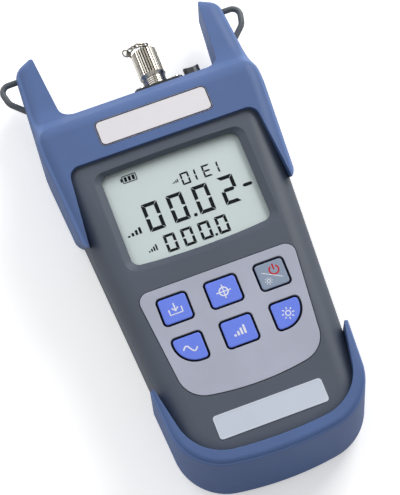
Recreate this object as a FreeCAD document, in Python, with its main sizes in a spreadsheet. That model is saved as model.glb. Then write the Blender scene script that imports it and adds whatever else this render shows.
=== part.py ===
"""Handheld optical power meter, lying on its back.

Frame: millimetres, +Z out of the front face, +Y towards the fibre port, +X to the right seen from the
front. The origin is the middle of the footprint, on the surface that the meter rests on.
"""

import FreeCAD, Part
import math
import os
import Sketcher

from FreeCAD import Placement, Rotation
from FreeCAD import Vector as V

doc = FreeCAD.newDocument("optical_power_meter")

# ----------------------------------------------------------------------------------------------
# Driving dimensions
# ----------------------------------------------------------------------------------------------
DIMENSIONS = {
    # the two grey covers
    "case_front": 31.5,        # front face of the front cover
    "case_back": 1.0,          # back face of the rear cover
    "parting": 17.0,           # joint between the two covers
    "case_foot": 82.8,         # distance of the lower end from the middle
    "case_head": 55.7,         # distance of the port end from the middle
    "foot_bow": 112.0,         # radius of the bowed lower end
    "foot_corner": 17.0,       # plan radius of the lower corners
    "head_corner": 9.6,        # plan radius of the corners at the port end
    "half_low": 31.9,          # half width at low_at
    "low_at": -68.0,
    "half_high": 39.3,         # half width at high_at
    "high_at": 45.0,
    "wall": 2.2,
    "front_round": 8.0,
    "back_round": 6.0,
    # the rubber bumpers
    "skin": 1.8,               # how far a bumper stands out from the covers
    "bumper_front": 33.0,
    "arm_end": 4.7,            # where the side arms of the top bumper stop at the front
    "arm_end_back": 17.7,      # and at the back
    "end_face": 57.5,          # port-side face of the top bumper
    "ridge": 51.5,             # where the front face turns down
    "slope_foot": 63.5,
    "horn_front": 24.0,        # horn thickness runs from horn_back to horn_front at its root
    "horn_tip_front": 20.0,
    "horn_back": 5.0,
    "horn_tip_back": 7.0,
    "horn_tip": 88.6,
    "horn_round": 5.2,         # front rounding of the guard's outer side
    "horn_back_round": 4.5,
    "tip_round": 2.0,
    "inner_round": 1.6,
    "heel_round": 2.2,
    "heel_back_round": 6.0,
    "heel_front_foot": 82.4,   # the lower end leans out from heel_front_foot at the front
    "heel_back_foot": 86.6,    # to heel_back_foot at the back
    "heel_arm": -48.7,         # where the sides of the bottom bumper end
    "heel_rim": -77.4,
    "horn_out_root": 41.3,
    "horn_out_tip": 39.3,
    "horn_in_root": 29.2,
    "horn_in_tip": 31.8,
    "root_round": 5.5,
    # display
    "window_half": 25.0,
    "window_low": -6.0,
    "window_high": 30.3,
    "window_foot_bow": 240.0,
    "window_head_bow": 700.0,
    "window_corner": 3.0,
    "bevel": 2.6,
    "recess": 1.8,
    # keypad
    "panel_top": -15.8,
    "panel_foot": -58.0,
    "panel_thick": 1.2,
    "panel_proud": 0.2,
    "key_wide": 10.0,
    "key_tall": 9.4,
    "key_pitch_x": 17.3,
    "key_row_high": -24.5,
    "key_row_low": -39.3,
    "key_top": 31.6,
    "key_gap": 0.65,
    "key_flange": 0.7,
    "key_travel": 0.8,
    # inside
    "board_top": 24.6,
    "board_thick": 1.6,
    "cell_round": 14.2,
    "cell_can": 49.2,
    "cell_pitch": 14.6,
    "bay_low": -54.4,
    "bay_high": 3.2,
    "bay_half": 22.8,
    "door_low": -61.0,
    "door_high": 9.0,
    "door_half": 24.0,
    "door_thick": 2.0,
    # fibre port
    "port_x": 7.0,
    "port_z": 16.0,
    "flange_wide": 18.0,
    "flange_face": 59.3,
    "ring_round": 8.8,
    "ring_end": 60.9,
    "thread_round": 8.0,
    "neck_end": 74.0,
    "ferrule_bore": 2.5,
    "cap_round": 9.7,
    "cap_foot": 65.2,
    "cap_end": 76.4,
    "lamp_x": 20.5,
    "lamp_z": 18.0,
    "lamp_round": 5.9,
    "lamp_end": 63.8,
    "loop_rod": 2.2,
}

sheet = doc.addObject("Spreadsheet::Sheet", "Dimensions")
for row, (alias, value) in enumerate(DIMENSIONS.items(), start=1):
    sheet.set(f"A{row}", alias)
    sheet.set(f"B{row}", str(value))
    sheet.setAlias(f"B{row}", alias)
doc.recompute()


class Size:
    """A length that knows both its value and the expression that gives it from the sheet."""

    def __init__(self, value, text=None):
        self.value = float(value)
        self.text = text or repr(float(value))

    def joined(self, other, sign, value):
        return Size(value, f"({self.text} {sign} {other.text})")

    def __add__(self, other):
        other = as_size(other)
        return self.joined(other, "+", self.value + other.value)

    def __sub__(self, other):
        other = as_size(other)
        return self.joined(other, "-", self.value - other.value)

    def __mul__(self, other):
        other = as_size(other)
        return self.joined(other, "*", self.value * other.value)

    def __truediv__(self, other):
        other = as_size(other)
        return self.joined(other, "/", self.value / other.value)

    def __rsub__(self, other):
        return as_size(other) - self

    def __neg__(self):
        return Size(-self.value, f"(-1 * {self.text})")

    __radd__ = __add__
    __rmul__ = __mul__

    def __float__(self):
        return self.value


def as_size(number):
    return number if isinstance(number, Size) else Size(number)


class Sheet:
    """Every cell of the sheet as a Size: D.wall, D.case_front and so on."""

    def __getattr__(self, alias):
        return Size(sheet.get(alias), f"Dimensions.{alias}")


D = Sheet()


# ----------------------------------------------------------------------------------------------
# Small helpers
# ----------------------------------------------------------------------------------------------
def new_body(label):
    body = doc.addObject("PartDesign::Body", label)
    body.Label = label
    return body


def origin_plane(body, role):
    return next(item for item in body.Origin.OriginFeatures if item.Role == role)


def new_sketch(body, height=0.0, role="XY_Plane"):
    """A sketch on one of the body's own planes, raised along the plane's normal."""
    sketch = body.newObject("Sketcher::SketchObject", f"{body.Name}_sketch")
    sketch.AttachmentSupport = [(origin_plane(body, role), "")]
    sketch.MapMode = "FlatFace"
    sketch.setExpression(".AttachmentOffset.Base.z", as_size(height).text)
    return sketch


def add_feature(body, kind, sketch, length, reverse, middle):
    feature = body.newObject(f"PartDesign::{kind}", f"{body.Name}_{kind.lower()}")
    feature.Profile = sketch
    if length is None:
        feature.Type = "ThroughAll"
    else:
        feature.setExpression("Length", as_size(length).text)
    feature.Reversed = reverse
    if middle:
        feature.SideType = "Symmetric"
    doc.recompute()
    return feature


def pad(body, sketch, length, reverse=False, middle=False):
    """Material added from the sketch plane along its normal."""
    return add_feature(body, "Pad", sketch, length, reverse, middle)


def pocket(body, sketch, length=None, reverse=True, middle=False):
    """Material taken away along the plane's normal (reverse) or against it; None goes right through."""
    before = body.Shape.Volume
    feature = add_feature(body, "Pocket", sketch, length, reverse, middle)
    if body.Shape.Volume > before - 1e-3:
        raise RuntimeError(f"{feature.Name} cuts nothing")
    return feature


def edge_numbers(shape, test):
    """Numbers of the edges whose bounding box and middle point pass a test."""
    numbers = []
    for number, edge in enumerate(shape.Edges, start=1):
        middle = edge.valueAt((edge.FirstParameter + edge.LastParameter) / 2)
        if test(edge.BoundBox, middle):
            numbers.append(number)
    return numbers


def dress(body, kind, amount, test):
    """A fillet or chamfer on the edges of the body's tip that pass the test."""
    base = body.Tip
    names = [f"Edge{number}" for number in edge_numbers(base.Shape, test)]
    if not names:
        raise RuntimeError(f"{body.Label}: no edge to {kind.lower()}")
    feature = body.newObject(f"PartDesign::{kind}", f"{body.Name}_{kind.lower()}")
    feature.Base = (base, names)
    feature.setExpression("Radius" if kind == "Fillet" else "Size", as_size(amount).text)
    doc.recompute()
    return feature


def at_height(level, slack=0.01):
    """A test for edges that lie in the plane z = level."""
    return lambda box, middle: abs(box.ZMin - float(level)) < slack and box.ZLength < slack


def draw(sketch, edges):
    """Adds ready-made lines and arcs to a sketch and holds them where they are."""
    for edge in edges:
        number = sketch.addGeometry(edge)
        sketch.addConstraint(Sketcher.Constraint("Block", number))
    return sketch


def rounded_box(sketch, centre_x, centre_y, wide, tall, corner):
    """A rounded rectangle held by constraints that are bound to the sheet."""
    centre_x, centre_y, corner = as_size(centre_x), as_size(centre_y), as_size(corner)
    sides = {
        "left": centre_x - as_size(wide) / 2,
        "right": centre_x + as_size(wide) / 2,
        "low": centre_y - as_size(tall) / 2,
        "high": centre_y + as_size(tall) / 2,
    }
    left, right, low, high = (float(side) for side in sides.values())
    r = float(corner)
    ends = [(right - r, low + r), (right - r, high - r), (left + r, high - r), (left + r, low + r)]
    runs = [
        (V(left + r, low), V(right - r, low)),
        (V(right, low + r), V(right, high - r)),
        (V(right - r, high), V(left + r, high)),
        (V(left, high - r), V(left, low + r)),
    ]
    first = sketch.GeometryCount
    rules = []
    for number in range(4):
        line, arc, after = first + 2 * number, first + 2 * number + 1, first + (2 * number + 2) % 8
        begin = (number - 1) * math.pi / 2
        sketch.addGeometry(Part.LineSegment(*runs[number]))
        bend = Part.Circle(V(*ends[number]), V(0, 0, 1), r)
        sketch.addGeometry(Part.ArcOfCircle(bend, begin, begin + math.pi / 2))
        rules.append(Sketcher.Constraint("Vertical" if number % 2 else "Horizontal", line))
        rules.append(Sketcher.Constraint("Tangent", line, 2, arc, 1))
        rules.append(Sketcher.Constraint("Tangent", arc, 2, after, 1))
    rules += [Sketcher.Constraint("Equal", first + 1, first + 1 + 2 * number) for number in (1, 2, 3)]
    sketch.addConstraint(rules)
    bind(sketch, f"corner_{first}", Sketcher.Constraint("Radius", first + 1, r), corner)
    for name, axis, line in (
        ("left", "DistanceX", 6),
        ("right", "DistanceX", 2),
        ("low", "DistanceY", 0),
        ("high", "DistanceY", 4),
    ):
        rule = Sketcher.Constraint(axis, -1, 1, first + line, 1, float(sides[name]))
        bind(sketch, f"{name}_{first}", rule, sides[name])
    return sketch


def circle(sketch, centre_x, centre_y, radius):
    """A circle held by constraints that are bound to the sheet."""
    x, y, r = as_size(centre_x), as_size(centre_y), as_size(radius)
    ring = sketch.addGeometry(Part.Circle(V(float(x), float(y)), V(0, 0, 1), float(r)))
    bind(sketch, f"x_{ring}", Sketcher.Constraint("DistanceX", -1, 1, ring, 3, float(x)), x)
    bind(sketch, f"y_{ring}", Sketcher.Constraint("DistanceY", -1, 1, ring, 3, float(y)), y)
    bind(sketch, f"radius_{ring}", Sketcher.Constraint("Radius", ring, float(r)), r)
    return sketch


def bind(sketch, name, rule, length):
    number = sketch.addConstraint(rule)
    sketch.renameConstraint(number, name)
    sketch.setExpression(f"Constraints.{name}", length.text)


def plate(label, centre, wide, tall, corner, low, high):
    """A flat rounded plate between two heights."""
    body = new_body(label)
    rounded_box(new_sketch(body, low), *centre, wide, tall, corner)
    pad(body, body.Group[-1], as_size(high) - as_size(low))
    return body


def line(*points):
    """Straight runs through points given as pairs."""
    return [Part.LineSegment(V(*a), V(*b)) for a, b in zip(points, points[1:])]


def arc(a, through, b):
    return Part.Arc(V(*a), V(*through), V(*b))


def round_corner(a, corner, b, radius):
    """Two straight runs a-corner-b with the corner rounded: tangent points and the arc's middle."""
    a, corner, b = V(*a), V(*corner), V(*b)
    back, ahead = (a - corner).normalize(), (b - corner).normalize()
    half = back.getAngle(ahead) / 2
    reach = radius / math.tan(half)
    centre = corner + (back + ahead).normalize() * (radius / math.sin(half))
    middle = centre + (corner - centre).normalize() * radius
    return corner + back * reach, middle, corner + ahead * reach


def rounded_path(points, radii):
    """An open path of straight runs with rounded corners; radii belong to the inner points."""
    edges = []
    start = V(*points[0])
    for number, radius in enumerate(radii, start=1):
        if radius:
            enter, middle, leave = round_corner(*points[number - 1 : number + 2], radius)
            edges.append(Part.LineSegment(start, enter))
            edges.append(Part.Arc(enter, middle, leave))
            start = leave
        else:
            edges.append(Part.LineSegment(start, V(*points[number])))
            start = V(*points[number])
    edges.append(Part.LineSegment(start, V(*points[-1])))
    return edges


def mirrored(edges):
    """The same edges on the other side of x = 0, in the order that closes the loop."""
    across = FreeCAD.Matrix(-1, 0, 0, 0, 0, 1, 0, 0, 0, 0, 1, 0, 0, 0, 0, 1)
    copies = []
    for edge in reversed(edges):
        if isinstance(edge, Part.LineSegment):
            copies.append(Part.LineSegment(across * edge.EndPoint, across * edge.StartPoint))
        else:
            middle = edge.value((edge.FirstParameter + edge.LastParameter) / 2)
            start, end = edge.value(edge.FirstParameter), edge.value(edge.LastParameter)
            copies.append(Part.Arc(across * end, across * middle, across * start))
    return copies


# ----------------------------------------------------------------------------------------------
# Outlines seen from the front
# ----------------------------------------------------------------------------------------------
def bowed_outline(foot, bow, foot_corner, low, high, head, head_corner, grow=0.0):
    """A closed outline with a bowed foot, straight tapered sides and a straight head.

    foot and head are the y of the two ends, bow the radius of the foot, low and high two points of the
    right-hand side; grow moves the whole outline outwards, concentric at the corners.
    """
    low, high = V(*low), V(*high)
    along = (high - low).normalize()
    out = V(along.y, -along.x)
    middle = V(0, foot + bow)
    inner = low - out * foot_corner
    b = (inner - middle).dot(along)
    c = (inner - middle).dot(inner - middle) - (bow - foot_corner) ** 2
    centre = inner + along * (-b - math.sqrt(b * b - c))
    down = (centre - middle).normalize()
    foot_end = centre + down * (foot_corner + grow)
    side_start = centre + out * (foot_corner + grow)
    bend = centre + (down + out).normalize() * (foot_corner + grow)
    shift = low + out * grow
    top = V(shift.x + along.x * (head + grow - shift.y) / along.y, head + grow)
    enter, round_middle, leave = round_corner(side_start, top, V(0, head + grow), head_corner + grow)
    right = [
        Part.Arc(foot_end, bend, side_start),
        Part.LineSegment(side_start, enter),
        Part.Arc(enter, round_middle, leave),
    ]
    foot_arc = Part.Arc(V(-foot_end.x, foot_end.y), V(0, foot - grow), foot_end)
    return [foot_arc, *right, Part.LineSegment(leave, V(-leave.x, leave.y)), *mirrored(right)]


def case_outline(grow=0.0):
    """The covers' outline; the bumpers are the same outline grown by their skin."""
    return bowed_outline(
        -float(D.case_foot),
        float(D.foot_bow),
        float(D.foot_corner),
        (float(D.half_low), float(D.low_at)),
        (float(D.half_high), float(D.high_at)),
        float(D.case_head),
        float(D.head_corner),
        grow,
    )


def heel_outline(foot):
    """The bottom bumper's outline, with its lower end at the given distance from the middle."""
    return bowed_outline(
        -foot + float(D.skin),
        float(D.foot_bow),
        float(D.foot_corner),
        (float(D.half_low), float(D.low_at)),
        (float(D.half_high), float(D.high_at)),
        float(D.case_head),
        float(D.head_corner),
        float(D.skin),
    )


def panel_outline(grow=0.0):
    """The keypad plate: tapered sides and large lower corners over a bowed foot."""
    return bowed_outline(
        float(D.panel_foot), 95.0, 9.5, (24.6, -50.0), (27.7, -20.0), float(D.panel_top), 3.6, grow
    )


def screen_outline(side=0.0, low=0.0, high=0.0):
    """The display window, bowed a little at its foot and head; the three sizes widen it."""
    half = float(D.window_half) + side
    foot, head = float(D.window_low) - low, float(D.window_high) + high
    corner = float(D.window_corner) + side * 0.4
    reach = half - corner
    edges = []
    for end, way, bow in ((foot, 1, float(D.window_foot_bow)), (head, -1, float(D.window_head_bow))):
        rise = math.sqrt((bow - corner) ** 2 - reach**2)
        turn = V(reach, -rise).normalize()
        centre = V(reach, end + way * (bow - rise))
        join = centre + V(turn.x, way * turn.y) * corner
        bend = centre + (V(turn.x, way * turn.y) + V(1, 0)).normalize() * corner
        edges.append((V(-join.x, join.y), V(0, end), join, bend, V(half, centre.y)))
    (a0, a1, a2, a3, a4), (b0, b1, b2, b3, b4) = edges
    right = [Part.Arc(a2, a3, a4), Part.LineSegment(a4, b4), Part.Arc(b4, b3, b2)]
    return [Part.Arc(a0, a1, a2), *right, Part.Arc(b2, b1, b0), *mirrored(right)]


def guard_outline():
    """The top bumper with its two horns, seen from the front."""
    skin, high, half = float(D.skin), float(D.high_at), float(D.half_high)
    slope = (half - float(D.half_low)) / (high - float(D.low_at))
    start = float(D.arm_end)
    tip = float(D.horn_tip)
    side = half + skin - slope * (high - start)
    points = [
        (0, start),
        (side, start),
        (float(D.horn_out_root), 45.5),
        (float(D.horn_out_tip), 84.6),
        (float(D.horn_in_tip), tip),
        (float(D.horn_in_root), float(D.end_face)),
        (0, float(D.end_face)),
    ]
    right = rounded_path(points, (0, 40.0, 5.6, 0, float(D.root_round)))
    return right + mirrored(right)


# ----------------------------------------------------------------------------------------------
# Covers
# ----------------------------------------------------------------------------------------------
def block(label, grow, low, high):
    """The case outline between two heights."""
    body = new_body(label)
    pad(body, draw(new_sketch(body, low), case_outline(grow)), as_size(high) - as_size(low))
    return body


def hollow(body, low, high, closed_at, radius):
    """A cavity that leaves the wall thickness, with rounded inner corners at its closed side."""
    sketch = draw(new_sketch(body, low), case_outline(-float(D.wall)))
    pocket(body, sketch, as_size(high) - as_size(low))
    dress(body, "Fillet", radius, at_height(closed_at))


KEYS = {
    # name: column, row, corner rounding of the lower left and lower right
    "key_save": (-1, "high", 1.2, 1.2),
    "key_reference": (0, "high", 1.2, 1.2),
    "key_power": (1, "high", 1.2, 1.2),
    "key_wavelength": (-1, "low", 7.5, 1.2),
    "key_unit": (0, "low", 1.2, 1.2),
    "key_lamp": (1, "low", 1.2, 7.5),
}


def key_centre(name):
    column, row = KEYS[name][:2]
    return column * float(D.key_pitch_x), float(D.key_row_high if row == "high" else D.key_row_low)


def key_outline(name, grow=0.0):
    """One key seen from the front, grown outwards for its well and its flange."""
    x, y = key_centre(name)
    column, _, low_left, low_right = KEYS[name]
    wide = (float(D.key_wide) + (0.8 if column == 0 else 0)) / 2 + grow
    tall = float(D.key_tall) / 2 + grow
    corners = [
        ((x - wide, y - tall), low_left + grow),
        ((x + wide, y - tall), low_right + grow),
        ((x + wide, y + tall), 1.2 + grow),
        ((x - wide, y + tall), 1.2 + grow),
    ]
    points = [(x, y - tall)] + [corner for corner, _ in corners[1:] + corners[:1]] + [(x, y - tall)]
    radii = [radius for _, radius in corners[1:] + corners[:1]]
    return rounded_path(points, radii)


def front_cover():
    body = block("front_cover", 0, D.parting, D.case_front)
    roof = D.case_front - D.wall
    hollow(body, D.parting, roof, roof, D.front_round - D.wall - 0.8)
    dress(body, "Fillet", D.front_round, at_height(D.case_front))
    bevel = body.newObject("PartDesign::SubtractiveLoft", "display_bevel")
    rim = draw(new_sketch(body, D.case_front), screen_outline(float(D.bevel), float(D.bevel), 1.0))
    floor = draw(new_sketch(body, D.case_front - D.recess), screen_outline())
    bevel.Profile = rim
    bevel.Sections = [floor]
    bevel.Ruled = True
    doc.recompute()
    pocket(body, draw(new_sketch(body, D.parting), screen_outline()))
    sunk = D.panel_thick - D.panel_proud
    pocket(body, draw(new_sketch(body, D.case_front - sunk), panel_outline(0.25)), sunk)
    for name in KEYS:
        pocket(body, draw(new_sketch(body, D.parting), key_outline(name, float(D.key_gap))))
    port = new_sketch(body, -D.case_head, "XZ_Plane")
    circle(port, D.port_x, D.port_z, 3.6)
    pocket(body, port, 6.0)
    lamp = new_sketch(body, -D.case_head, "XZ_Plane")
    circle(lamp, D.lamp_x, D.lamp_z, 1.8)
    pocket(body, lamp, 6.0)
    return body


def rear_cover():
    body = block("rear_cover", 0, D.case_back, D.parting)
    floor = D.case_back + D.wall
    hollow(body, floor, D.parting, floor, D.back_round - D.wall)
    dress(body, "Fillet", D.back_round, at_height(D.case_back))
    bay_y = (D.bay_low + D.bay_high) / 2
    bay_tall = D.bay_high - D.bay_low
    door_y = (D.door_low + D.door_high) / 2
    door_tall = D.door_high - D.door_low
    ledge = rounded_box(new_sketch(body, floor), 0, door_y, D.door_half * 2 + 4, door_tall + 6, 2.0)
    pad(body, ledge, 1.6)
    box = rounded_box(new_sketch(body, floor), 0, bay_y, D.bay_half * 2 + 3.2, bay_tall + 3.2, 1.6)
    roof = D.cell_round + 4.2
    pad(body, box, roof + 1.4 - floor)
    mouth = rounded_box(new_sketch(body), 0, door_y, D.door_half * 2 + 0.6, door_tall + 0.6, 1.8)
    pocket(body, mouth, D.case_back + D.door_thick + 0.15)
    bay = rounded_box(new_sketch(body), 0, bay_y, D.bay_half * 2, bay_tall, 1.0)
    pocket(body, bay, roof)
    slots = new_sketch(body, floor - 0.1)
    for side in (-1, 1):
        rounded_box(slots, side * 14.0, D.door_low + 0.9, 8.8, 6.6, 0.5)
    pocket(body, slots, 3.0)
    bosses = new_sketch(body, floor)
    for x, y in BOSSES:
        circle(bosses, x, y, 3.2)
    pad(body, bosses, D.board_top - D.board_thick - floor)
    drilled = new_sketch(body)
    for x, y in BOSSES:
        circle(drilled, x, y, 1.25)
    pocket(body, drilled, D.board_top)
    heads = new_sketch(body)
    for x, y in BOSSES:
        circle(heads, x, y, 2.4)
    pocket(body, heads, D.case_back + 1.2)
    port = new_sketch(body, -D.case_head, "XZ_Plane")
    circle(port, D.port_x, D.port_z, 3.6)
    pocket(body, port, 6.0)
    lamp = new_sketch(body, -D.case_head, "XZ_Plane")
    circle(lamp, D.lamp_x, D.lamp_z, 1.8)
    pocket(body, lamp, 6.0)
    return body


BOSSES = [(-25.5, 42.0), (25.5, 42.0), (-17.0, -68.0), (17.0, -68.0)]


# ----------------------------------------------------------------------------------------------
# Bumpers
# ----------------------------------------------------------------------------------------------
def cut(label, base, *tools):
    """The base with the tools taken away, as one boolean after another."""
    for number, tool in enumerate(tools, start=1):
        last = number == len(tools)
        step = doc.addObject("Part::Cut", label if last else f"{label}_cut_{number}")
        step.Base = base
        step.Tool = tool
        base = step
    doc.recompute()
    base.Label = label
    return base


def guard_blank():
    """The top bumper before the covers are taken out of it."""
    body = new_body("guard_blank")
    pad(body, draw(new_sketch(body), guard_outline()), D.bumper_front)
    front, root, tip = (float(D.bumper_front), float(D.horn_front), float(D.horn_tip_front))
    above = rounded_path(
        [(30, front), (float(D.ridge), front), (60.5, root), (95, tip), (95, 40), (30, 40), (30, front)],
        (7.0, 14.0, 0, 0, 0),
    )
    pocket(body, draw(new_sketch(body, 0, "YZ_Plane"), above), 120.0, middle=True)
    low, low_tip = float(D.horn_back), float(D.horn_tip_back)
    below = rounded_path(
        [(40, 0), (54, 0), (63, low), (95, low_tip), (95, -9), (40, -9), (40, 0)],
        (5.0, 9.0, 0, 0, 0),
    )
    pocket(body, draw(new_sketch(body, 0, "YZ_Plane"), below), 120.0, middle=True)
    end, back = float(D.arm_end), float(D.arm_end_back)
    slant = line((end, 40), (end, front), (back, 0), (back, -5), (-20, -5), (-20, 40), (end, 40))
    pocket(body, draw(new_sketch(body, 0, "YZ_Plane"), slant), 120.0, middle=True)
    return body


def middle_of(edge):
    return edge.valueAt((edge.FirstParameter + edge.LastParameter) / 2)


def round_edges(base, groups):
    """A fillet with its own radius for each group of edges: (test, radius) pairs."""
    feature = doc.addObject("Part::Fillet", f"{base.Name}_round")
    feature.Base = base
    rows = []
    for test, radius in groups:
        rows += [(n, float(radius), float(radius)) for n in edge_numbers(base.Shape, test)]
    feature.Edges = rows
    doc.recompute()
    return feature


def wall_x(y):
    """The inner wall of a horn at one y."""
    slope = (float(D.horn_in_tip) - float(D.horn_in_root)) / (float(D.horn_tip) - float(D.end_face))
    return float(D.horn_in_root) + slope * (y - float(D.end_face))


def outer_side(front):
    """Edges between the guard's outer side and its front or back surface."""

    def test(box, middle):
        along = box.YLength > 0.5 and middle.y > float(D.arm_end) + 0.5
        outside = min(abs(box.XMin), abs(box.XMax)) > 33.0 and abs(middle.x) > 34.5
        return along and outside and front == (middle.z > 14)

    return test


def inner_side(front):
    """Edges between the space inside the horns and the guard's front or back surface."""

    def test(box, middle):
        upright = box.ZLength > 3 and box.YLength < 1
        crosswise = box.YMin < float(D.end_face) - 0.1
        root = middle.y < float(D.slope_foot) and abs(middle.x) < wall_x(middle.y) + 0.2
        wall = middle.y >= float(D.slope_foot) and abs(abs(middle.x) - wall_x(middle.y)) < 0.35
        return not upright and not crosswise and (root or wall) and front == (middle.z > 14)

    return test


def tip_corner(box, middle):
    return abs(abs(middle.x) - float(D.horn_in_tip)) < 0.3 and box.YMin > float(D.horn_tip) - 0.3 \
        and box.ZLength > 3


def opening(label, edges, low=-1.0, high=34.0):
    """A prism through the whole height, used only to cut others."""
    body = new_body(label)
    pad(body, draw(new_sketch(body, low), edges), high - low)
    return body


def cross_bore(label, x, z, radius, near, far):
    """A round tool along Y."""
    tool = doc.addObject("Part::Cylinder", label)
    tool.setExpression("Radius", as_size(radius).text)
    tool.setExpression("Height", (as_size(far) - as_size(near)).text)
    tool.Placement = Placement(V(float(x), float(near), float(z)), Rotation(V(1, 0, 0), -90))
    return tool


def top_bumper(case, loops):
    rounded = round_edges(
        guard_blank(),
        [
            (outer_side(True), D.horn_round),
            (outer_side(False), D.horn_back_round),
            (tip_corner, D.tip_round),
        ],
    )
    face = rounded_path([(0, 35.5), (34.2, 35.5), (36.9, 3.0), (0, 3.0)], (4.0, 0))
    window = opening("guard_opening", face + mirrored(face))
    seat = opening("plate_seat", plate_edges(0.15), float(D.bumper_front) - 0.5)
    half = float(D.flange_wide) / 2 + 0.2
    mouth = doc.addObject("Part::Box", "flange_mouth")
    mouth.Length, mouth.Width, mouth.Height = 2 * half, 6.0, 2 * half
    corner = V(float(D.port_x) - half, float(D.case_head) - 1, float(D.port_z) - half)
    mouth.Placement = Placement(corner, Rotation())
    lamp = cross_bore("lamp_mouth", D.lamp_x, D.lamp_z, D.lamp_round / 2, 50.0, 60.0)
    return cut("top_bumper", rounded, case, window, seat, mouth, lamp, *loops)


def plate_edges(grow=0.0):
    """The title plate on the top bumper."""
    wide, low, high, corner = 20.5 + grow, 39.2 - grow, 48.9 + grow, 2.0
    points = [(0, low), (wide, low), (wide, high), (0, high)]
    right = rounded_path(points, (corner, corner))
    return right + mirrored(right)


def heel_blank():
    """The bottom bumper before the covers are taken out of it; its end leans out towards the back."""
    ends = ((D.heel_back_foot, 0.0), (D.heel_front_foot, D.bumper_front))
    sections = []
    for foot, height in ends:
        section = doc.addObject("Sketcher::SketchObject", "heel_section")
        section.Placement = Placement(V(0, 0, float(height)), Rotation())
        sections.append(draw(section, heel_outline(float(foot))))
    blank = doc.addObject("Part::Loft", "heel_blank")
    blank.Sections = sections
    blank.Solid = True
    blank.Ruled = True
    doc.recompute()
    front, back = at_height(D.bumper_front), at_height(0)
    return round_edges(blank, [(front, D.heel_round), (back, D.heel_back_round)])


def bottom_bumper(case):
    blank = heel_blank()
    face = bowed_outline(float(D.heel_rim), 150.0, 17.0, (31.2, -60.0), (33.5, -48.7), 60.0, 5.0)
    window = opening("heel_opening", face)
    rest = doc.addObject("Part::Box", "heel_end")
    rest.Length, rest.Width, rest.Height = 120, 160, 40
    rest.Placement = Placement(V(-60, float(D.heel_arm), -3), Rotation())
    return cut("bottom_bumper", blank, case, window, rest)


# ----------------------------------------------------------------------------------------------
# Turned pieces and rods
# ----------------------------------------------------------------------------------------------
def turned(label, profile, x, z):
    """A body turned about a line along Y through (x, z); the profile is (radius, y) pairs."""
    body = new_body(label)
    sketch = draw(new_sketch(body), line(*profile, profile[0]))
    spin = body.newObject("PartDesign::Revolution", f"{label}_spin")
    spin.Profile = sketch
    spin.ReferenceAxis = (sketch, ["V_Axis"])
    spin.Angle = 360
    body.setExpression(".Placement.Base.x", as_size(x).text)
    body.setExpression(".Placement.Base.z", as_size(z).text)
    doc.recompute()
    return body


def knurl(body, radius, start, end, count, depth):
    """Straight V grooves round a turned body, parallel to its axis."""
    half = 0.8 * math.pi * radius / count
    sketch = new_sketch(body, -as_size(start), "XZ_Plane")
    points = [(-half, radius + 0.1), (0, radius - depth), (half, radius + 0.1)]
    draw(sketch, line(*points, points[0]))
    groove = pocket(body, sketch, as_size(end) - as_size(start), reverse=False)
    ring = body.newObject("PartDesign::PolarPattern", f"{body.Name}_knurl")
    ring.Originals = [groove]
    ring.Axis = (sketch, ["N_Axis"])
    ring.Angle = 360
    ring.Occurrences = count
    body.Tip = ring
    doc.recompute()


def rod(label, points, radii, z, radius):
    """A round rod along a flat path at one height, swept from a circle at the path's start."""
    body = new_body(label)
    path = draw(new_sketch(body, z), rounded_path(points, radii))
    start = V(*points[0])
    section = new_sketch(body, start.x, "YZ_Plane")
    circle(section, start.y, z, radius)
    sweep = body.newObject("PartDesign::AdditivePipe", f"{label}_sweep")
    sweep.Profile = section
    sweep.Spine = path
    doc.recompute()
    return body


def lanyard_loop(side):
    """A rod loop moulded into the outer edge of one horn."""
    name = "lanyard_loop_right" if side > 0 else "lanyard_loop_left"
    points = [(37.2, 82.6), (46.2, 82.6), (44.6, 75.4), (37.6, 68.4)]
    points = [(side * x, y) for x, y in points]
    return rod(name, points, (2.9, 5.0), 14.0, D.loop_rod / 2)


def knurled_ring():
    body = turned(
        "port_lock_ring",
        [
            (D.thread_round.value / 2 + 0.02, D.flange_face.value),
            (D.ring_round.value / 2, D.flange_face.value),
            (D.ring_round.value / 2, D.ring_end.value),
            (D.thread_round.value / 2 + 0.02, D.ring_end.value),
        ],
        D.port_x,
        D.port_z,
    )
    knurl(body, D.ring_round.value / 2, D.flange_face, D.ring_end, 28, 0.3)
    return body


def port_body():
    """The adapter barrel: threaded outside, with a ferrule tube standing in its bore."""
    thread, end, back = D.thread_round.value / 2, D.neck_end.value, D.case_head.value - 5
    profile = [
        (1.65, back),
        (3.4, back),
        (3.4, D.case_head.value),
        (thread, D.case_head.value),
        (thread, end - 0.4),
        (thread - 0.4, end),
        (3.1, end),
        (3.1, end - 8.0),
        (2.4, end - 8.0),
        (2.4, end - 1.2),
        (1.65, end - 1.2),
    ]
    return turned("port_body", profile, D.port_x, D.port_z)


def port_sleeve():
    """The ceramic sleeve that takes the ferrule."""
    bore, end = D.ferrule_bore.value / 2, D.neck_end.value - 1.4
    profile = [(bore, end - 11.4), (1.62, end - 11.4), (1.62, end), (bore, end)]
    return turned("port_sleeve", profile, D.port_x, D.port_z)


def photodiode():
    """The detector can behind the sleeve, with its window towards the fibre."""
    back = D.case_head.value - 5.0
    profile = [(0, back - 4.6), (2.7, back - 4.6), (2.7, back - 3.9), (2.3, back - 3.9), (2.3, back - 0.3)]
    profile += [(0, back - 0.3)]
    return turned("photodiode", profile, D.port_x, D.port_z)


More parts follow.
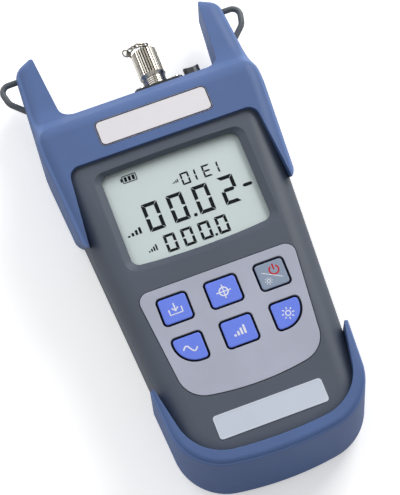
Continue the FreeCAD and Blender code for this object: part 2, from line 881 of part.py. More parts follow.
def dust_cap():
    radius, start, end = D.cap_round.value / 2, D.cap_foot.value, D.cap_end.value
    bore = D.thread_round.value / 2 + 0.05
    floor = end - 1.6
    profile = [
        (bore, start),
        (radius - 0.7, start),
        (radius - 0.1, start + 1.0),
        (radius, start + 1.2),
        (radius, end - 0.5),
        (radius - 0.5, end),
        (0.85, end),
        (0.85, floor),
        (bore, floor),
    ]
    body = turned("dust_cap", profile, D.port_x, D.port_z)
    knurl(body, radius, D.cap_foot + 1.1, D.cap_end + 0.2, 30, 0.45)
    return body


def cap_swivel():
    """A rivet through the cap's end that the chain turns on."""
    end = D.cap_end.value
    floor = end - 1.6
    profile = [
        (0, floor - 0.5),
        (1.5, floor - 0.5),
        (1.5, floor - 0.1),
        (0.8, floor - 0.1),
        (0.8, end + 0.1),
        (2.3, end + 0.1),
        (2.3, end + 0.8),
        (1.5, end + 1.3),
        (0, end + 1.3),
    ]
    return turned("cap_swivel", profile, D.port_x, D.port_z)


def flange():
    body = new_body("port_flange")
    sketch = new_sketch(body, -D.case_head, "XZ_Plane")
    rounded_box(sketch, D.port_x, D.port_z, D.flange_wide, D.flange_wide, 1.6)
    pad(body, sketch, D.flange_face - D.case_head, reverse=True)
    bore = new_sketch(body, -D.flange_face, "XZ_Plane")
    circle(bore, D.port_x, D.port_z, D.thread_round / 2)
    pocket(body, bore)
    holes = new_sketch(body, -D.flange_face, "XZ_Plane")
    for x in (-1, 1):
        for z in (-1, 1):
            circle(holes, D.port_x + 6.6 * x, D.port_z + 6.6 * z, 1.0)
    pocket(body, holes)
    return body


def group(label, shapes):
    """Several separate solids that share one node."""
    feature = doc.addObject("Part::Feature", label)
    feature.Shape = Part.makeCompound(shapes)
    feature.Label = label
    return feature


def screw(head_radius, head, shank_radius, shank, slot):
    """A pan-head screw along +Z, its head's underside at z = 0 and its shank below."""
    body = Part.makeCylinder(head_radius, head).fuse(
        Part.makeCylinder(shank_radius, shank, V(0, 0, -shank))
    )
    for turn in (0, 90):
        bar = Part.makeBox(slot, 0.5, head, V(-slot / 2, -0.25, head * 0.5))
        bar.rotate(V(0, 0, 0), V(0, 0, 1), turn)
        body = body.cut(bar)
    return body.removeSplitter()


def port_screws():
    solids = []
    for x in (-1, 1):
        for z in (-1, 1):
            solid = screw(1.7, 0.8, 0.98, 3.4, 2.2)
            solid.rotate(V(0, 0, 0), V(1, 0, 0), -90)
            place = V(D.port_x.value + 6.6 * x, D.flange_face.value, D.port_z.value + 6.6 * z)
            solid.translate(place)
            solids.append(solid)
    return group("port_screws", solids)


def case_screws():
    solids = []
    for x, y in BOSSES:
        solid = screw(2.3, 1.0, 1.2, 19.0, 3.2)
        solid.rotate(V(0, 0, 0), V(1, 0, 0), 180)
        solid.translate(V(x, y, D.case_back.value + 1.2))
        solids.append(solid)
    return group("case_screws", solids)


def lamp_bezel():
    """A short tube whose end is scooped out crosswise."""
    radius, start, end = D.lamp_round.value / 2, D.case_head.value, D.lamp_end.value
    profile = [(1.6, start), (radius, start), (radius, end), (1.6, end)]
    body = turned("lamp_bezel", profile, D.lamp_x, D.lamp_z)
    scoop = new_sketch(body, 0)
    circle(scoop, 0, end + 2.6, 3.8)
    pocket(body, scoop, 2 * radius + 1, middle=True)
    return body


def lamp_led():
    start, end = D.case_head.value, D.lamp_end.value - 3.2
    profile = [(0, start - 3), (1.55, start - 3), (1.55, end), (1.1, end + 1.0), (0, end + 1.4)]
    return turned("lamp_led", profile, D.lamp_x, D.lamp_z)


# ----------------------------------------------------------------------------------------------
# Display, keys and board
# ----------------------------------------------------------------------------------------------
def plate_of(label, edges, low, high):
    body = new_body(label)
    pad(body, draw(new_sketch(body, low), edges), as_size(high) - as_size(low))
    return body


def display_window():
    face = D.case_front - D.recess
    return plate_of("display_window", screen_outline(-0.12, -0.12, -0.12), face - 1.5, face - 0.1)


def lcd_frame():
    """The frame that stands on the board and holds the display glass under the window."""
    top = D.case_front - D.recess - 1.6
    y = (D.window_low + D.window_high) / 2
    body = plate("lcd_frame", (0, y), 58.0, 42.0, 1.5, D.board_top, top)
    seat = rounded_box(new_sketch(body, top), 0, y, 53.0, 38.0, 0.6)
    pocket(body, seat, 1.9, reverse=False)
    through = rounded_box(new_sketch(body, D.board_top), 0, y, 48.0, 33.0, 0.6)
    pocket(body, through)
    return body


def lcd_panel():
    top = D.case_front - D.recess - 1.7
    y = (D.window_low + D.window_high) / 2
    return plate("lcd_panel", (0, y), 52.8, 37.8, 0.4, top - 1.8, top)


def main_board():
    """The circuit board, cut to the case and screwed on the four bosses."""
    low = D.board_top - D.board_thick
    points = [(0, -74.0), (22.0, -74.0), (28.6, -62.0), (30.5, 47.0), (0, 47.0)]
    right = rounded_path(points, (5.0, 6.0, 3.0))
    body = plate_of("main_board", right + mirrored(right), low, D.board_top)
    holes = new_sketch(body, low)
    for x, y in BOSSES:
        circle(holes, x, y, 1.3)
    pocket(body, holes)
    return body


def keypad_panel():
    base = D.case_front - D.panel_thick + D.panel_proud
    body = plate_of("keypad_panel", panel_outline(), base, D.case_front + D.panel_proud)
    for name in KEYS:
        pocket(body, draw(new_sketch(body, base), key_outline(name, float(D.key_gap))))
    return body


def key(name):
    """A key cap with the flange that keeps it under the cover and the stem that works its switch."""
    roof = D.case_front - D.wall
    body = new_body(name)
    under = roof - 0.15
    pad(body, draw(new_sketch(body, under), key_outline(name)), D.key_top - under)
    dress(body, "Fillet", 0.5, at_height(D.key_top))
    flange_low = under - D.key_flange
    flange_edges = key_outline(name, D.key_gap.value + 0.7)
    pad(body, draw(new_sketch(body, flange_low), flange_edges), D.key_flange)
    x, y = key_centre(name)
    stem_foot = D.board_top + 1.6
    pad(body, circle(new_sketch(body, stem_foot), x, y, 1.6), flange_low - stem_foot + 0.1)
    return body


def keypad_mat():
    """The rubber mat on the board that seals round the key stems."""
    low = D.board_top + 1.7
    body = plate("keypad_mat", (0, -31.9), 50.0, 31.0, 2.0, D.board_top, low)
    hollows = new_sketch(body, D.board_top)
    for name in KEYS:
        circle(hollows, *key_centre(name), 4.2)
    pocket(body, hollows)
    return body


def key_switches():
    """Six metal domes on the board, each a shallow cap."""
    solids = []
    for name in KEYS:
        x, y = key_centre(name)
        rise, reach = 0.7, 3.2
        radius = (reach**2 + rise**2) / (2 * rise)
        ball = Part.makeSphere(radius, V(x, y, D.board_top.value + rise - radius))
        slab = Part.makeBox(8, 8, rise, V(x - 4, y - 4, D.board_top.value))
        solids.append(ball.common(slab))
    return group("key_switches", solids)


def title_plate():
    top = D.bumper_front.value
    return plate_of("title_plate", plate_edges(), top - 0.5, top + 0.15)


def name_plate():
    body = plate("name_plate", (0, -68.0), 38.0, 8.4, 1.2, D.case_front, D.case_front + 0.25)
    return body


# ----------------------------------------------------------------------------------------------
# Battery
# ----------------------------------------------------------------------------------------------
CELLS = {"battery_cell_1": (-1, 1), "battery_cell_2": (0, -1), "battery_cell_3": (1, 1)}
PLATE = 0.4
SPRING = 5.9


def cell_height():
    return D.case_back + D.door_thick + 0.6 + D.cell_round / 2


def battery_cell(name):
    """A cell on its side: can and button, turned about its own axis."""
    column, way = CELLS[name]
    can, radius = D.cell_can.value, D.cell_round.value / 2
    profile = [
        (0, 0),
        (radius - 0.6, 0),
        (radius, 0.6),
        (radius, can - 0.6),
        (radius - 0.6, can),
        (2.75, can),
        (2.75, can + 1.0),
        (0, can + 1.0),
    ]
    start = D.bay_low.value + PLATE + SPRING
    if way < 0:
        start = D.bay_high.value - PLATE - SPRING
    profile = [(r, start + way * y) for r, y in profile]
    return turned(name, profile, D.cell_pitch * column, cell_height())


def battery_springs():
    """A coil spring at each cell's negative end."""
    solids = []
    for column, way in CELLS.values():
        helix = Part.makeHelix(1.9, SPRING - 0.9, 2.9)
        ring = Part.Wire(Part.makeCircle(0.35, V(2.9, 0, 0), V(0, 1, 0)))
        coil = Part.Wire(helix).makePipeShell([ring], True, True)
        coil.translate(V(0, 0, 0.45))
        coil.rotate(V(0, 0, 0), V(1, 0, 0), -90 * way)
        end = D.bay_low.value + PLATE if way > 0 else D.bay_high.value - PLATE
        coil.translate(V(D.cell_pitch.value * column, end, cell_height().value))
        solids.append(coil)
    return group("battery_springs", solids)


def battery_contacts():
    solids = []
    height = cell_height().value
    for column in (-1, 0, 1):
        x = D.cell_pitch.value * column
        for y in (D.bay_low.value, D.bay_high.value - PLATE):
            solids.append(Part.makeBox(11.0, PLATE, 11.0, V(x - 5.5, y, height - 5.5)))
    return group("battery_contacts", solids)


def battery_door():
    """The lid of the bay: tongues at its lower end, grip ribs and a latch lip at its upper end."""
    y = (D.door_low + D.door_high) / 2
    top = D.case_back + D.door_thick
    body = plate(
        "battery_door", (0, y), D.door_half * 2, D.door_high - D.door_low, 1.5, D.case_back, top
    )
    stems = new_sketch(body, D.case_back)
    for side in (-1, 1):
        rounded_box(stems, side * 14.0, D.door_low + 1.4, 8.0, 1.8, 0.4)
    pad(body, stems, D.door_thick + 1.6)
    tongues = new_sketch(body, top + 0.4)
    for side in (-1, 1):
        rounded_box(tongues, side * 14.0, D.door_low + 0.1, 8.0, 4.0, 0.4)
    pad(body, tongues, 1.2)
    grips = new_sketch(body, D.case_back)
    for step in range(3):
        rounded_box(grips, 0, D.door_high - 5.0 - 2.2 * step, 16.0 - 3.0 * step, 0.9, 0.4)
    pocket(body, grips, 0.5)
    return body


# ----------------------------------------------------------------------------------------------
# Chain
# ----------------------------------------------------------------------------------------------
CHAIN_PATH = [(7.0, 79.3, 16.2), (3.6, 79.8, 18.4), (1.4, 78.9, 16.0), (4.6, 78.3, 11.4)]
CHAIN_PATH += [(7.4, 74.8, 9.2), (8.2, 70.0, 8.9), (7.2, 65.8, 8.8), (4.0, 62.8, 8.8), (1.6, 61.9, 8.6)]


def chain_link(middle, along, turned_over):
    """A round wire link: a ring stretched along the chain's direction."""
    wire, bend, straight = 0.28, 0.75, 0.85
    path = Part.Wire(
        [
            Part.Arc(V(straight, bend, 0), V(straight + bend, 0, 0), V(straight, -bend, 0)).toShape(),
            Part.LineSegment(V(straight, -bend, 0), V(-straight, -bend, 0)).toShape(),
            Part.Arc(V(-straight, -bend, 0), V(-straight - bend, 0, 0), V(-straight, bend, 0)).toShape(),
            Part.LineSegment(V(-straight, bend, 0), V(straight, bend, 0)).toShape(),
        ]
    )
    section = Part.Wire(Part.makeCircle(wire, V(straight, bend, 0), V(1, 0, 0)))
    link = path.makePipeShell([section], True, False)
    if turned_over:
        link.rotate(V(0, 0, 0), V(1, 0, 0), 90)
    link.Placement = Placement(middle, Rotation(V(1, 0, 0), along))
    return link


def cap_chain():
    """The links that tie the cap to the flange, spaced evenly along a smooth curve."""
    curve = Part.BSplineCurve()
    curve.interpolate([V(*point) for point in CHAIN_PATH])
    length = curve.length()
    pitch = 2.35
    count = int(length / pitch)
    solids = []
    for number in range(count):
        at = curve.parameterAtDistance((number + 0.5) * length / count, curve.FirstParameter)
        solids.append(chain_link(curve.value(at), curve.tangent(at)[0], number % 2 == 1))
    return group("cap_chain", solids)


# ----------------------------------------------------------------------------------------------
# The whole meter
# ----------------------------------------------------------------------------------------------
def build():
    case = block("case_form", 0, D.case_back, D.case_front)
    dress(case, "Fillet", D.front_round, at_height(D.case_front))
    dress(case, "Fillet", D.back_round, at_height(D.case_back))
    loops = [lanyard_loop(side) for side in (-1, 1)]
    pieces = [front_cover(), rear_cover(), top_bumper(case, loops), bottom_bumper(case), *loops]
    pieces += [display_window(), lcd_frame(), lcd_panel(), main_board()]
    pieces += [keypad_panel(), keypad_mat(), key_switches(), *(key(name) for name in KEYS)]
    pieces += [title_plate(), name_plate()]
    pieces += [flange(), port_body(), port_sleeve(), knurled_ring(), photodiode(), port_screws()]
    pieces += [dust_cap(), cap_swivel(), cap_chain(), lamp_bezel(), lamp_led()]
    pieces += [battery_door(), *(battery_cell(name) for name in CELLS)]
    pieces += [battery_springs(), battery_contacts(), case_screws()]
    return pieces


def check(pieces):
    """Stops the build at the first failed feature or shape."""
    doc.recompute()
    for item in doc.Objects:
        if "Invalid" in item.State or "Error" in item.State:
            raise RuntimeError(f"{item.Name}: {item.getStatusString()}")
    for piece in pieces:
        if piece.Shape.isNull() or not piece.Shape.isValid() or not piece.Shape.Solids:
            raise RuntimeError(f"{piece.Label} has no valid solid")


subparts = build()
check(subparts)
os.makedirs("parts", exist_ok=True)
for piece in subparts:
    piece.Shape.exportStep(f"parts/{piece.Label}.step")
print(f"{len(subparts)} nodes, {sum(len(piece.Shape.Solids) for piece in subparts)} solids")
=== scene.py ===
# %% [markdown]
# # An optical power meter, finished in Blender
#
# This handheld meter measures how much light a fibre carries. Its solids come ready from CAD and stay where
# they are. This lesson adds what CAD leaves out: a camera and lamps, a finish for every surface, and the
# small printed and formed details, such as the figures on the display, the marks on the keys and the cap's
# chain.
#
# Everything is in metres in the CAD's own frame: the meter lies on its back on the floor at z = 0, its
# fibre port points along +Y and its display faces +Z. Details are easier to read in millimetres, so their
# sizes are written that way and multiplied by MM where Blender takes them.

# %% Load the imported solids
import math
from contextlib import contextmanager

import bpy
from mathutils import Matrix, Vector


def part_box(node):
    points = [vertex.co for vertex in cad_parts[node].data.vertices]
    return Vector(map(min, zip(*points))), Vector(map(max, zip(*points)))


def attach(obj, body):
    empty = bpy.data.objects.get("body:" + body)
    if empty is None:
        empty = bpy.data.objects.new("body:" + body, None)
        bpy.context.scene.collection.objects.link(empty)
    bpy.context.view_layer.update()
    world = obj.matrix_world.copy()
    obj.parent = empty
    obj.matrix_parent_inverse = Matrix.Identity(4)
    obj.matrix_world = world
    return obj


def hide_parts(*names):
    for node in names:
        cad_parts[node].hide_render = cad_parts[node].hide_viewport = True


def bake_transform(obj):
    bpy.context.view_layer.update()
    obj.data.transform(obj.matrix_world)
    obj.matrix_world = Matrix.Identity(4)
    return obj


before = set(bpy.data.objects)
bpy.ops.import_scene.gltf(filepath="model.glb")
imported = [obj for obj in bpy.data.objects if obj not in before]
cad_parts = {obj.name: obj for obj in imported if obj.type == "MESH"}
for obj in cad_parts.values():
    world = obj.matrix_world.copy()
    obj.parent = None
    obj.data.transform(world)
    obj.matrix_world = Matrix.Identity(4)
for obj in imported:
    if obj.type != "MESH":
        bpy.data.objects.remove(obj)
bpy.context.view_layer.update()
MM = 0.001


def box_of(name):
    """A node's lowest and highest corners, in millimetres."""
    low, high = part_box(name)
    return Vector(low) / MM, Vector(high) / MM


# %% [markdown]
# ## Camera
#
# A camera can be aimed by a Track To constraint or by its own matrix. The matrix is plainer here, because
# the view is also rolled: the meter stands slanted in the frame. The camera looks down steeply from beyond
# the meter's foot, 65 cm away, through a long lens that keeps the two sides of the case nearly parallel.

# %% Look down on the meter from beyond its foot
LEAN = math.radians(20.0)
TURN = math.radians(-6.3)
ROLL = math.radians(-21.83)
DISTANCE = 0.650
AIM = Vector((-0.18, -1.25, 16.0)) * MM
LENS = 136.64
backward = Vector((math.sin(TURN) * math.cos(LEAN), -math.sin(LEAN), math.cos(TURN) * math.cos(LEAN)))
level = Vector((0, 1, 0)).cross(backward).normalized()
upright = backward.cross(level)
right = level * math.cos(ROLL) + upright * math.sin(ROLL)
up = upright * math.cos(ROLL) - level * math.sin(ROLL)
turn_of_view = Matrix((right, up, backward)).transposed().to_4x4()

camera_data = bpy.data.cameras.new("camera")
camera_data.lens = LENS
camera_data.clip_start = 0.05
camera_data.clip_end = 20.0
camera = bpy.data.objects.new("camera", camera_data)
bpy.context.scene.collection.objects.link(camera)
camera.matrix_world = Matrix.Translation(AIM + backward * DISTANCE) @ turn_of_view
bpy.context.scene.camera = camera
print("camera at", [round(v, 3) for v in camera.location])


# %% [markdown]
# ## Writing shaders as sums
#
# A material is a tree of nodes. Wiring a tree by hand takes a line for every link, and hides the idea. Here
# a `Wire` stands for one output socket, and adding or multiplying wires adds the Math nodes that do it, so
# that a pattern reads like the formula that it is. A `Finish` is one material: its `add` method makes any
# other node.

# %% A socket that can be calculated with
class Wire:
    """One output socket; arithmetic on it adds Math nodes."""

    def __init__(self, finish, socket):
        self.finish = finish
        self.socket = socket

    def __add__(self, other):
        return self.finish.math("ADD", self, other)

    def __sub__(self, other):
        return self.finish.math("SUBTRACT", self, other)

    def __rsub__(self, other):
        return self.finish.math("SUBTRACT", other, self)

    def __mul__(self, other):
        return self.finish.math("MULTIPLY", self, other)

    def __gt__(self, other):
        return self.finish.math("GREATER_THAN", self, other)

    def __abs__(self):
        return self.finish.math("ABSOLUTE", self)

    __radd__ = __add__
    __rmul__ = __mul__


# %% A material under construction
class Finish:
    """A material with a Principled shader; its node tree is built by add()."""

    def __init__(self, name, **uniform):
        self.material = bpy.data.materials.new(name)
        self.material.use_nodes = True
        self.tree = self.material.node_tree
        self.tree.nodes.clear()
        self.output = self.tree.nodes.new("ShaderNodeOutputMaterial")
        self.shader = self.add("ShaderNodeBsdfPrincipled")
        self.wear("Surface", self.shader)
        for socket, value in uniform.items():
            self.set(socket.replace("_", " "), value)

    def add(self, kind, settings=None, values=(), output=None):
        """A new node: its settings, its inputs in order or by name, and the output wanted."""
        node = self.tree.nodes.new(kind)
        for key, value in (settings or {}).items():
            setattr(node, key, value)
        sockets = [s for s in node.inputs if s.enabled]
        named = values.items() if isinstance(values, dict) else enumerate(values)
        for key, value in named:
            socket = sockets[key] if isinstance(key, int) else next(s for s in sockets if s.name == key)
            self.link(socket, value)
        if output is None:
            return Wire(self, next(s for s in node.outputs if s.enabled))
        return Wire(self, node.outputs[output])

    def link(self, socket, value):
        """Feeds a socket from a wire or sets it to a number or colour."""
        if isinstance(value, Wire):
            self.tree.links.new(value.socket, socket)
        else:
            socket.default_value = value

    def set(self, name, value):
        """Feeds or sets an input of the Principled shader."""
        self.link(self.shader.socket.node.inputs[name], value)

    def wear(self, name, wire):
        """Feeds an input of the material's output."""
        self.link(self.output.inputs[name], wire)

    def point(self):
        """Where a point is on the object, in millimetres."""
        metres = self.add("ShaderNodeTexCoord", output="Object")
        return self.add("ShaderNodeVectorMath", {"operation": "SCALE"}, {"Vector": metres, "Scale": 1 / MM})

    def axes(self, vector):
        """The three numbers of a vector."""
        node = self.add("ShaderNodeSeparateXYZ", values=[vector]).socket.node
        return [Wire(self, socket) for socket in node.outputs]

    def noise(self, vector, size, detail, roughness=0.5):
        """Soft random values from 0 to 1, with lumps about this many millimetres apart."""
        values = {"Vector": vector, "Scale": 1 / size, "Detail": detail, "Roughness": roughness}
        return self.add("ShaderNodeTexNoise", values=values)

    def stretch(self, vector, x, y, z):
        """The vector with each of its three numbers scaled."""
        return self.add("ShaderNodeVectorMath", {"operation": "MULTIPLY"}, [vector, (x, y, z)])

    def mix(self, share, first, second):
        """The first colour where the share is 0, the second where it is 1."""
        return self.add("ShaderNodeMix", {"data_type": "RGBA"}, [share, first, second])

    def math(self, operation, *values):
        """One Math node."""
        return self.add("ShaderNodeMath", {"operation": operation}, values)

    def steps(self, value, low, high):
        """0 below low, 1 above high, and a soft rise between them."""
        values = {"Value": value, "From Min": low, "From Max": high}
        return self.add("ShaderNodeMapRange", {"interpolation_type": "SMOOTHSTEP"}, values)

    def soft_edges(self, radius):
        """The way that the surface faces, as if its edges were rounded by this many millimetres."""
        return self.add("ShaderNodeBevel", {"samples": 4}, {"Radius": radius * MM})

    def bump(self, height, depth, strength, under=None):
        """Dents and grains of this depth in millimetres, on top of another surface direction or none."""
        values = {"Height": height, "Distance": depth * MM, "Strength": strength}
        if under is not None:
            values["Normal"] = under
        return self.add("ShaderNodeBump", values=values)


# %% Colours
def paint(red, green, blue):
    """A colour written as 0 to 255 on a screen, as the light values that a shader works with."""
    shares = [v / 255 for v in (red, green, blue)]
    return (*[v / 12.92 if v <= 0.04045 else ((v + 0.055) / 1.055) ** 2.4 for v in shares], 1.0)


def shade(colour, factor):
    """The colour made lighter or darker by a factor."""
    return (*[min(1.0, v * factor) for v in colour[:3]], 1.0)


print("screen grey 128 is light", round(paint(128, 128, 128)[0], 3))


# %% [markdown]
# ## Lamps, sky and floor
#
# A small product looks best under a few large, soft lamps, so that edges show without hard shadows. One
# broad lamp stands beyond the port and to the right, a weaker one fills from the left, and a pale sky does
# the rest. Diffuse surfaces see a sky that is brighter beyond the port than before the foot. Polished metal
# would look flat under it, so mirror rays see a sky with dark bands. The camera itself sees white.

# %% Two soft lamps
def soft_lamp(name, spot, size, power, colour):
    """A square lamp aimed at the meter; its place and size are in metres, its power in watts."""
    data = bpy.data.lights.new(name, "AREA")
    data.size = size
    data.energy = power
    data.color = colour
    lamp = bpy.data.objects.new(name, data)
    bpy.context.scene.collection.objects.link(lamp)
    lamp.location = spot
    lamp.rotation_euler = (Vector(spot) - AIM).to_track_quat("Z", "Y").to_euler()
    print(name, "of", power, "W at", spot)


soft_lamp("key_lamp", (0.80, 0.70, 0.75), size=0.6, power=10.0, colour=(1.0, 0.99, 0.97))
soft_lamp("fill_lamp", (-0.55, 0.65, 0.70), size=0.9, power=3.0, colour=(0.95, 0.97, 1.0))

# %% A sky that mirror rays see in bands
SKY_LIGHT = 0.56
SKY_NEAR = 0.55
SKY_FAR = 1.4
BAND_DARK = (0.10, 0.10, 0.11, 1.0)
BAND_WHITE = (1.0, 1.0, 1.0, 1.0)
world = bpy.data.worlds.new("studio")
world.use_nodes = True
bpy.context.scene.world = world
sky = world.node_tree
sky.nodes.clear()
kind_of_ray = sky.nodes.new("ShaderNodeLightPath")
plain, white, banded = [sky.nodes.new("ShaderNodeBackground") for _ in range(3)]
white.inputs["Strength"].default_value = 1.0
direction = sky.nodes.new("ShaderNodeTexCoord")
direction_axes = sky.nodes.new("ShaderNodeSeparateXYZ")
slope = sky.nodes.new("ShaderNodeMapRange")
slope.inputs["From Min"].default_value = -1.0
slope.inputs["To Min"].default_value = SKY_LIGHT * SKY_NEAR
slope.inputs["To Max"].default_value = SKY_LIGHT * SKY_FAR
bands = sky.nodes.new("ShaderNodeTexWave")
bands.wave_type = "BANDS"
bands.bands_direction = "X"
bands.inputs["Scale"].default_value = 0.9
bands.inputs["Distortion"].default_value = 1.5
bands.inputs["Detail"].default_value = 1.0
ramp = sky.nodes.new("ShaderNodeValToRGB")
dark_stop, white_stop = ramp.color_ramp.elements
dark_stop.position = 0.30
dark_stop.color = BAND_DARK
white_stop.position = 0.62
white_stop.color = BAND_WHITE
for_mirrors, for_camera = [sky.nodes.new("ShaderNodeMixShader") for _ in range(2)]
sky_output = sky.nodes.new("ShaderNodeOutputWorld")
for start, end in (
    (direction.outputs["Generated"], direction_axes.inputs["Vector"]),
    (direction_axes.outputs["Y"], slope.inputs["Value"]),
    (slope.outputs["Result"], plain.inputs["Strength"]),
    (direction.outputs["Generated"], bands.inputs["Vector"]),
    (bands.outputs["Fac"], ramp.inputs["Fac"]),
    (ramp.outputs["Color"], banded.inputs["Color"]),
    (kind_of_ray.outputs["Is Glossy Ray"], for_mirrors.inputs["Fac"]),
    (plain.outputs["Background"], for_mirrors.inputs[1]),
    (banded.outputs["Background"], for_mirrors.inputs[2]),
    (kind_of_ray.outputs["Is Camera Ray"], for_camera.inputs["Fac"]),
    (for_mirrors.outputs["Shader"], for_camera.inputs[1]),
    (white.outputs["Background"], for_camera.inputs[2]),
    (for_camera.outputs["Shader"], sky_output.inputs["Surface"]),
):
    sky.links.new(start, end)
bpy.context.scene.view_settings.view_transform = "Standard"
print("sky of", len(sky.nodes), "nodes")

# %% A white floor that keeps the meter's shadow
FLOOR_SIZE = 8.0
FLOOR_GLOW = 0.42
bpy.ops.object.select_all(action="DESELECT")
bpy.ops.mesh.primitive_plane_add(size=FLOOR_SIZE, location=(0, 0, 0))
floor = bpy.context.object
floor.name = "floor"
floor_finish = Finish("floor_paper", Base_Color=(0.93, 0.93, 0.93, 1.0), Roughness=0.9)
seen = floor_finish.add("ShaderNodeLightPath", output="Is Camera Ray")
floor_finish.set("Emission Color", (1.0, 1.0, 1.0, 1.0))
floor_finish.set("Emission Strength", seen * FLOOR_GLOW)
floor.data.materials.append(floor_finish.material)
print("floor", FLOOR_SIZE, "m wide")


# %% [markdown]
# ## Finishes of the moulded parts
#
# The covers are hard grey plastic from a mould with an etched, slightly glittering texture. The bumpers are
# soft blue rubber over them, matt and a little uneven. An image texture could show both, but it would
# repeat and blur. Noise read at the object's own scale gives grain of a fixed size in millimetres on every
# side of the part.

# %% Etched hard plastic and matt rubber
def give(finish, *names):
    """Puts a finish on CAD nodes."""
    for name in names:
        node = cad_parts[name]
        node.data.materials.clear()
        node.data.materials.append(finish.material)
    print(finish.material.name, "->", ", ".join(names))


def moulded(
    name, colour, roughness, grain, depth, blotch=0.05, worn_and_highlit=0.25, seam=None, brink_highlight=0.0, **uniform
):
    """Plastic or rubber: grain in millimetres, patches of other tone, paler edges of wear and painted
    highlight.

    A seam is the height of the line where two halves of a moulding meet; it is darker and sunk a little.
    A share above 0 for the brinks paints a highlight on rounded brinks that face part way up, between a top
    and a side.
    """
    finish = Finish(name, **uniform)
    point = finish.point()
    patches = finish.noise(point, size=24.0, detail=3.0)
    grains = finish.noise(point, size=grain, detail=3.0, roughness=0.6)
    edge_patches = finish.noise(point, size=3.2, detail=4.0, roughness=0.7)
    softened = finish.soft_edges(0.35)
    facing = finish.add("ShaderNodeNewGeometry", output="Normal")
    alike = finish.add("ShaderNodeVectorMath", {"operation": "DOT_PRODUCT"}, [softened, facing])
    # Paler edges: partly rubbed wear, partly a painted highlight that stands in for light catching the
    # edges.
    edge = finish.steps(1 - alike, 0.01, 0.12) * finish.steps(edge_patches, 0.35, 0.65)
    base = finish.mix(finish.steps(patches, 0.3, 0.7), shade(colour, 1 - blotch), shade(colour, 1 + blotch))
    speckled = finish.mix(finish.steps(grains, 0.55, 0.8) * 0.22, base, shade(colour, 1.45))
    surface = finish.mix(edge * worn_and_highlit, speckled, shade(colour, 1.9))
    if brink_highlight:
        # Painted highlight: where the surface leans part way up, on the brinks between a top and a side, it
        # is made paler.
        lean = finish.axes(facing)[2]
        highlight_band = finish.steps(lean, 0.3, 0.55) * (1 - finish.steps(lean, 0.6, 0.76))
        surface = finish.mix(highlight_band * brink_highlight, surface, shade(colour, 1.8))
    if seam is not None:
        height = finish.axes(point)[2]
        groove = 1 - finish.steps(abs(height - seam), 0.05, 0.22)
        surface = finish.mix(groove * 0.75, surface, shade(colour, 0.15))
        grains = grains - groove * 4.0
    finish.set("Base Color", surface)
    finish.set("Roughness", roughness - 0.08 + patches * 0.1 + grains * 0.08)
    finish.set("Normal", finish.bump(grains, depth, 0.7, softened))
    return finish


# %% Covers, bumpers and the other moulded parts
seam = box_of("front_cover")[0].z
case_grey = moulded("case_grey", paint(77, 85, 99), roughness=0.5, grain=0.45, depth=0.05, seam=seam)
give(case_grey, "front_cover", "rear_cover", "battery_door")
bumper_blue = moulded(
    "bumper_blue",
    paint(83, 108, 158),
    roughness=0.5,
    grain=0.6,
    depth=0.05,
    # Paler edges, partly wear and partly painted highlight.
    worn_and_highlit=0.45,
    # A painted highlight on the rounded brinks of the bumpers.
    brink_highlight=0.55,
    Specular_IOR_Level=0.35,
)
give(bumper_blue, "top_bumper", "bottom_bumper")
give(moulded("panel_grey", paint(177, 181, 199), roughness=0.42, grain=0.3, depth=0.02), "keypad_panel")
give(moulded("mat_navy", paint(18, 22, 60), roughness=0.6, grain=0.6, depth=0.03), "keypad_mat")
give(moulded("inner_black", paint(32, 33, 36), roughness=0.5, grain=0.5, depth=0.03), "lcd_frame")
loop_grey = moulded("loop_grey", paint(84, 90, 98), roughness=0.36, grain=0.5, depth=0.02)
give(loop_grey, "lanyard_loop_left", "lanyard_loop_right")
give(moulded("lamp_black", paint(48, 50, 56), roughness=0.38, grain=0.5, depth=0.02), "lamp_bezel")
flange_black = moulded(
    "flange_black", paint(58, 58, 60), roughness=0.4, grain=0.4, depth=0.02, Metallic=0.6
)
give(flange_black, "port_flange")
give(moulded("sleeve_ceramic", paint(238, 236, 228), roughness=0.25, grain=0.4, depth=0.004), "port_sleeve")
board_green = moulded("board_green", paint(22, 88, 52), roughness=0.35, grain=1.2, depth=0.02, blotch=0.15)
give(board_green, "main_board")


# %% [markdown]
# ## Keys
#
# Each key is a rubber cap that is printed blue on top only, so that its rounded rim stays dark navy. The
# rim could be a separate ring. Here the height decides: what lies more than PRINTED below the key's highest
# point is navy.

# %% A printed face with a navy rim
PRINTED = 0.12


def key_finish(name, colour):
    """A navy rubber cap whose top is printed in another colour."""
    top = box_of(name)[1].z
    finish = Finish(name + "_finish")
    point = finish.point()
    height = finish.axes(point)[2]
    grains = finish.noise(point, size=0.5, detail=2.0)
    patches = finish.noise(point, size=5.0, detail=2.0)
    face = finish.mix(patches, shade(colour, 0.96), shade(colour, 1.05))
    finish.set("Base Color", finish.mix(height > top - PRINTED, paint(16, 20, 66), face))
    finish.set("Roughness", 0.42 + grains * 0.12)
    finish.set("Normal", finish.bump(grains, 0.012, 0.5, finish.soft_edges(0.45)))
    return finish


key_names = [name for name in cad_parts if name.startswith("key_") and name != "key_switches"]
for name in key_names:
    colour = paint(140, 155, 178) if name == "key_power" else paint(107, 134, 243)
    give(key_finish(name, colour), name)


# %% [markdown]
# ## Display, window and plates
#
# The display is a pale grey-green reflective cell behind a clear window. A window of true glass would trap
# the light that should reach the display, so it lets light straight through and only adds a mirror coat,
# strongest at grazing angles, as the Fresnel node says. Only its outer side has the coat, so that the light
# isn't dimmed twice.

